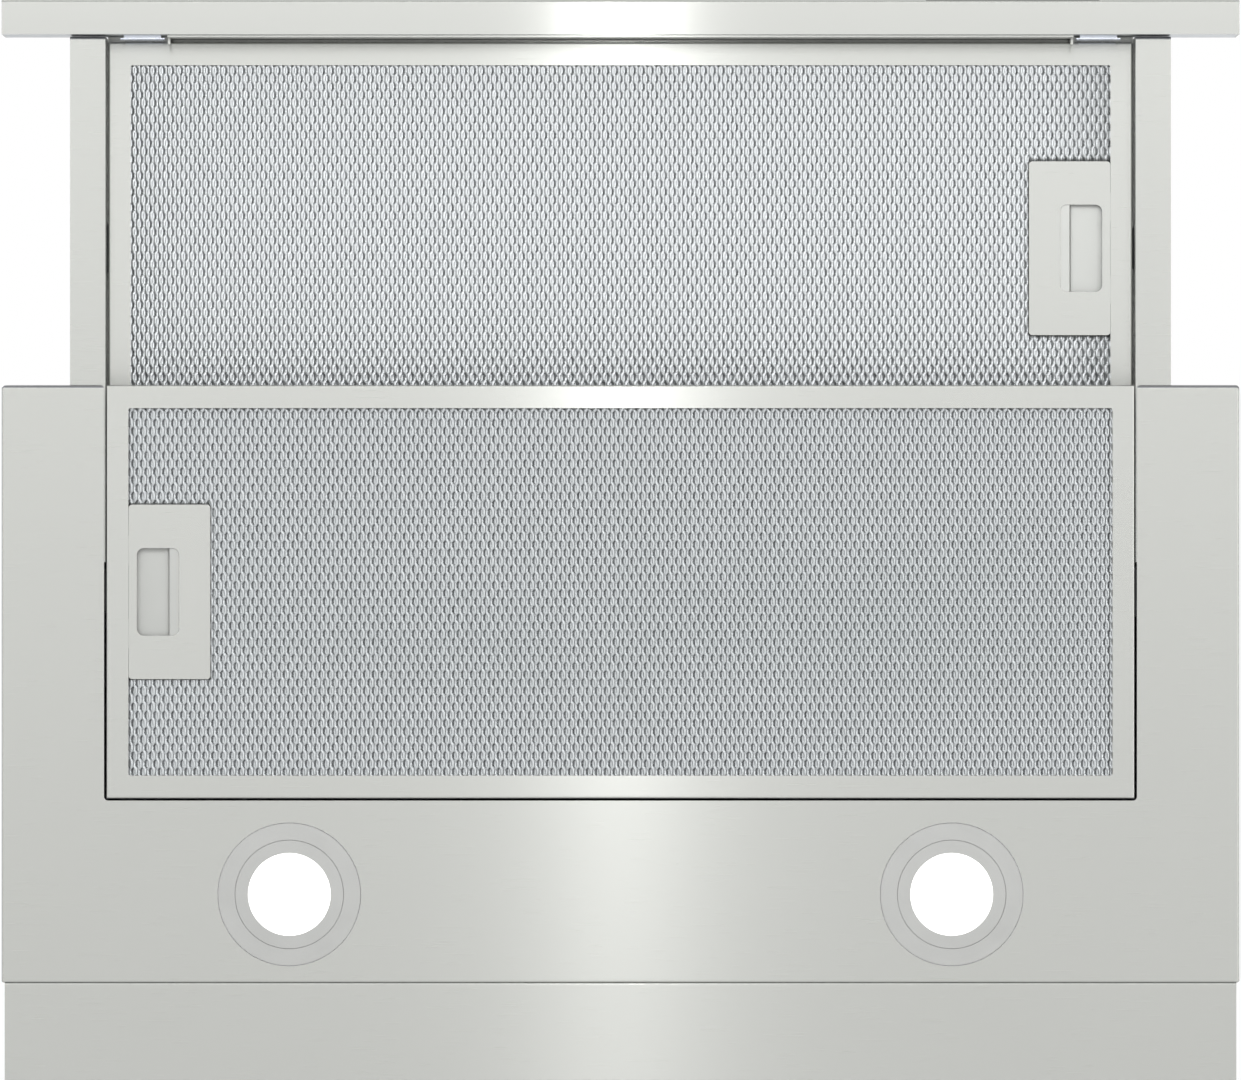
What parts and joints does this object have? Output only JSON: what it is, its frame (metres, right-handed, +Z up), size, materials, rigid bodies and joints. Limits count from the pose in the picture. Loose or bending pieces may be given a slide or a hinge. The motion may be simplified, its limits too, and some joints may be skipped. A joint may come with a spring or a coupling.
{
  "type": "telescopic range hood",
  "caption": "Telescopic range hood for a wall cabinet, with a filter drawer that a front bar pulls out, latched mesh grease filters, round lamps, a blower and a round air outlet.",
  "frame": {"origin": "middle of the cabinet screw pattern, on the top face of the base tray's side flanges", "axes": "+Z up along the cabinet screws, -Y towards the front where the drawer pulls out, +X to the right as seen from the front"},
  "size_m": [0.598, 0.5246, 0.265],
  "materials": {
    "stainless": "brushed along X, satin",
    "filter_steel": "brushed along X, satin",
    "latch_steel": "satin",
    "spring_steel": "bright",
    "mesh_aluminium": "bare expanded sheet",
    "galvanised": "galvanised, dull",
    "zinc_plate": "zinc plated, bright",
    "black_plastic": "fine grain",
    "red_plastic": "smooth",
    "blower_plastic": "moulded",
    "fan_plastic": "moulded",
    "motor_steel": "satin",
    "core_steel": "stacked sheets",
    "box_plastic": "moulded",
    "circuit_board": "solder mask",
    "white_plastic": "smooth",
    "lamp_aluminium": "die cast",
    "lamp_ring": "satin silver",
    "lamp_lens": "opal, diffusing",
    "button_silver": "satin silver"
  },
  "bodies": {
    "housing": {"base_tray": "stainless", "rear_filler": "stainless", "casing_body": "galvanised", "casing_front": "galvanised", "casing_top": "galvanised", "housing_screws": "zinc_plate", "outlet_collar": "black_plastic", "flap_pin": "spring_steel", "scroll_left": "blower_plastic", "scroll_right": "blower_plastic", "motor_case": "motor_steel", "motor_stator": "core_steel", "motor_bracket": "galvanised", "control_box": "box_plastic", "power_board": "circuit_board", "cable_gland": "black_plastic", "capacitor": "white_plastic", "led_driver": "white_plastic", "microswitch": "black_plastic", "slide_outer_left": "zinc_plate", "slide_outer_right": "zinc_plate", "lamp_housings": "lamp_aluminium", "lamp_bezels": "lamp_ring", "lamp_trims": "lamp_ring", "lamp_lenses": "lamp_lens", "led_boards": "circuit_board"},
    "drawer": {"drawer_rail_left": "stainless", "drawer_rail_right": "stainless", "drawer_screws": "zinc_plate", "drawer_front_bar": "stainless", "drawer_rear_bar": "galvanised", "drawer_top_cover": "galvanised", "fascia_brackets": "zinc_plate", "fascia_shell": "stainless", "fascia_back": "galvanised", "button_bezel": "black_plastic", "control_board": "circuit_board", "slide_inner_left": "zinc_plate", "slide_inner_right": "zinc_plate", "front_filter_frame": "filter_steel", "front_filter_handle": "filter_steel", "front_filter_mesh": "mesh_aluminium", "front_latch_spring": "spring_steel"},
    "slide_cage_left": {"slide_cage_left": "zinc_plate"},
    "slide_cage_right": {"slide_cage_right": "zinc_plate"},
    "rear_filter": {"rear_filter_frame": "filter_steel", "rear_filter_handle": "filter_steel", "rear_filter_mesh": "mesh_aluminium", "rear_latch_spring": "spring_steel"},
    "rear_latch": {"rear_latch": "latch_steel"},
    "front_latch": {"front_latch": "latch_steel"},
    "fan": {"fan_wheel": "fan_plastic", "motor_rotor": "core_steel"},
    "flap_front": {"flap_front": "black_plastic"},
    "flap_rear": {"flap_rear": "black_plastic"},
    "button_light": {"button_light": "button_silver"},
    "button_speed_one": {"button_speed_one": "button_silver"},
    "button_speed_two": {"button_speed_two": "button_silver"},
    "button_speed_three": {"button_speed_three": "button_silver"},
    "switch_plunger": {"switch_plunger": "red_plastic"}
  },
  "joints": [
    {"name": "drawer_slide", "type": "slide", "parent": "housing", "child": "drawer", "axis": [0, -1, 0], "range_m": [-0.1675, 0]},
    {"name": "slide_cage_left_roll", "type": "slide", "parent": "housing", "child": "slide_cage_left", "axis": [0, -1, 0], "range_m": [-0.08375, 0]},
    {"name": "slide_cage_right_roll", "type": "slide", "parent": "housing", "child": "slide_cage_right", "axis": [0, -1, 0], "range_m": [-0.08375, 0]},
    {"name": "rear_filter_tilt", "type": "hinge", "parent": "housing", "child": "rear_filter", "pos_m": [0.2495, -0.04445, -0.0402], "axis": [0, -1, 0], "range_deg": [0, 60]},
    {"name": "rear_latch_slide", "type": "slide", "parent": "rear_filter", "child": "rear_latch", "axis": [1, 0, 0], "range_m": [0, 0.005], "stiffness_N_per_m": 300, "springref_m": -0.002, "deforming": ["rear_latch_spring"]},
    {"name": "front_latch_slide", "type": "slide", "parent": "drawer", "child": "front_latch", "axis": [-1, 0, 0], "range_m": [0, 0.005], "stiffness_N_per_m": 300, "springref_m": -0.002, "deforming": ["front_latch_spring"]},
    {"name": "fan_spin", "type": "hinge", "parent": "housing", "child": "fan", "pos_m": [0, -0.005, 0.076], "axis": [1, 0, 0], "continuous": true},
    {"name": "flap_front_lift", "type": "hinge", "parent": "housing", "child": "flap_front", "pos_m": [0, 0, 0.176], "axis": [-1, 0, 0], "range_deg": [0, 75]},
    {"name": "flap_rear_lift", "type": "hinge", "parent": "housing", "child": "flap_rear", "pos_m": [0, 0, 0.176], "axis": [1, 0, 0], "range_deg": [0, 75]},
    {"name": "button_light_press", "type": "slide", "parent": "drawer", "child": "button_light", "axis": [0, 1, 0], "range_m": [0, 0.001], "stiffness_N_per_m": 300, "springref_m": -0.001},
    {"name": "button_speed_one_press", "type": "slide", "parent": "drawer", "child": "button_speed_one", "axis": [0, 1, 0], "range_m": [0, 0.001], "stiffness_N_per_m": 300, "springref_m": -0.001},
    {"name": "button_speed_two_press", "type": "slide", "parent": "drawer", "child": "button_speed_two", "axis": [0, 1, 0], "range_m": [0, 0.001], "stiffness_N_per_m": 300, "springref_m": -0.001},
    {"name": "button_speed_three_press", "type": "slide", "parent": "drawer", "child": "button_speed_three", "axis": [0, 1, 0], "range_m": [0, 0.001], "stiffness_N_per_m": 300, "springref_m": -0.001},
    {"name": "switch_plunger_press", "type": "slide", "parent": "housing", "child": "switch_plunger", "axis": [0, 1, 0], "range_m": [0, 0.0015], "stiffness_N_per_m": 100, "springref_m": -0.001}
  ],
  "couplings": [
    {"joint": "slide_cage_left_roll", "follows": "drawer_slide", "ratio": 0.5},
    {"joint": "slide_cage_right_roll", "follows": "drawer_slide", "ratio": 0.5}
  ]
}
